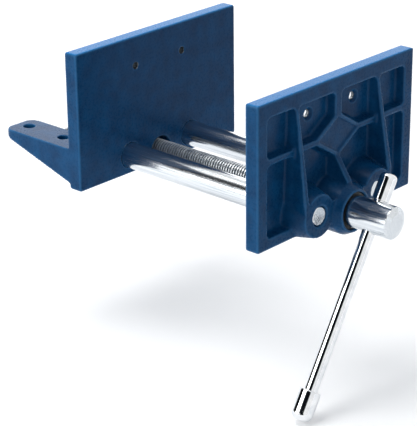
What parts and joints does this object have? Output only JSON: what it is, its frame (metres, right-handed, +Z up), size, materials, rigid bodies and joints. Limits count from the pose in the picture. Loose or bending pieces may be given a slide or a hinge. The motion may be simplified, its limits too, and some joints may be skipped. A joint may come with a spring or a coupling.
{
  "type": "woodworking vise",
  "caption": "Woodworking bench vise: ribbed cast jaws on round guide bars, drawn together by a central screw with a sliding bar handle, and bench arms with bolt holes.",
  "frame": {"origin": "on the fixed jaw's working face, midway along it, level with the tops of the bench arms, which meet the bench's underside", "axes": "+Y is square to the jaw faces, away from the user and under the bench, +Z up, and +X runs along the jaws to the right of a user who faces the bench"},
  "size_m": [0.175, 0.313, 0.2307],
  "materials": {
    "blue_paint": "semi-gloss dark blue paint on cast iron",
    "chrome": "polished plating",
    "screw_steel": "turned steel, lightly oiled",
    "plated_steel": "zinc-plated steel",
    "grey_iron": "bare machined cast iron"
  },
  "bodies": {
    "fixed_jaw": {"rear_jaw": "blue_paint", "screw_nut": "grey_iron", "nut_screws": "plated_steel"},
    "moving_jaw": {"front_jaw": "blue_paint", "left_guide_bar": "chrome", "right_guide_bar": "chrome", "left_bar_pin": "plated_steel", "right_bar_pin": "plated_steel", "tie_plate": "plated_steel", "tie_plate_washers": "plated_steel", "tie_plate_screws": "plated_steel"},
    "screw": {"main_screw": "screw_steel", "screw_hub": "chrome", "hub_pin": "plated_steel", "thrust_washer": "plated_steel", "retaining_collar": "screw_steel", "collar_pin": "plated_steel"},
    "handle": {"handle_bar": "chrome", "handle_knob": "chrome", "handle_cap": "chrome"}
  },
  "joints": [
    {"name": "jaw_slide", "type": "slide", "parent": "fixed_jaw", "child": "moving_jaw", "axis": [0, 1, 0], "range_m": [-0.016, 0.1635]},
    {"name": "screw_turn", "type": "hinge", "parent": "moving_jaw", "child": "screw", "pos_m": [0, 0, -0.022], "axis": [0, 1, 0], "range_deg": [-1151.9, 11771.9]},
    {"name": "handle_slide", "type": "slide", "parent": "screw", "child": "handle", "axis": [0.527, 0, 0.8499], "range_m": [0, 0.1185]}
  ],
  "couplings": [
    {"joint": "jaw_slide", "follows": "screw_turn", "m_per_rad": 0.00079577}
  ]
}
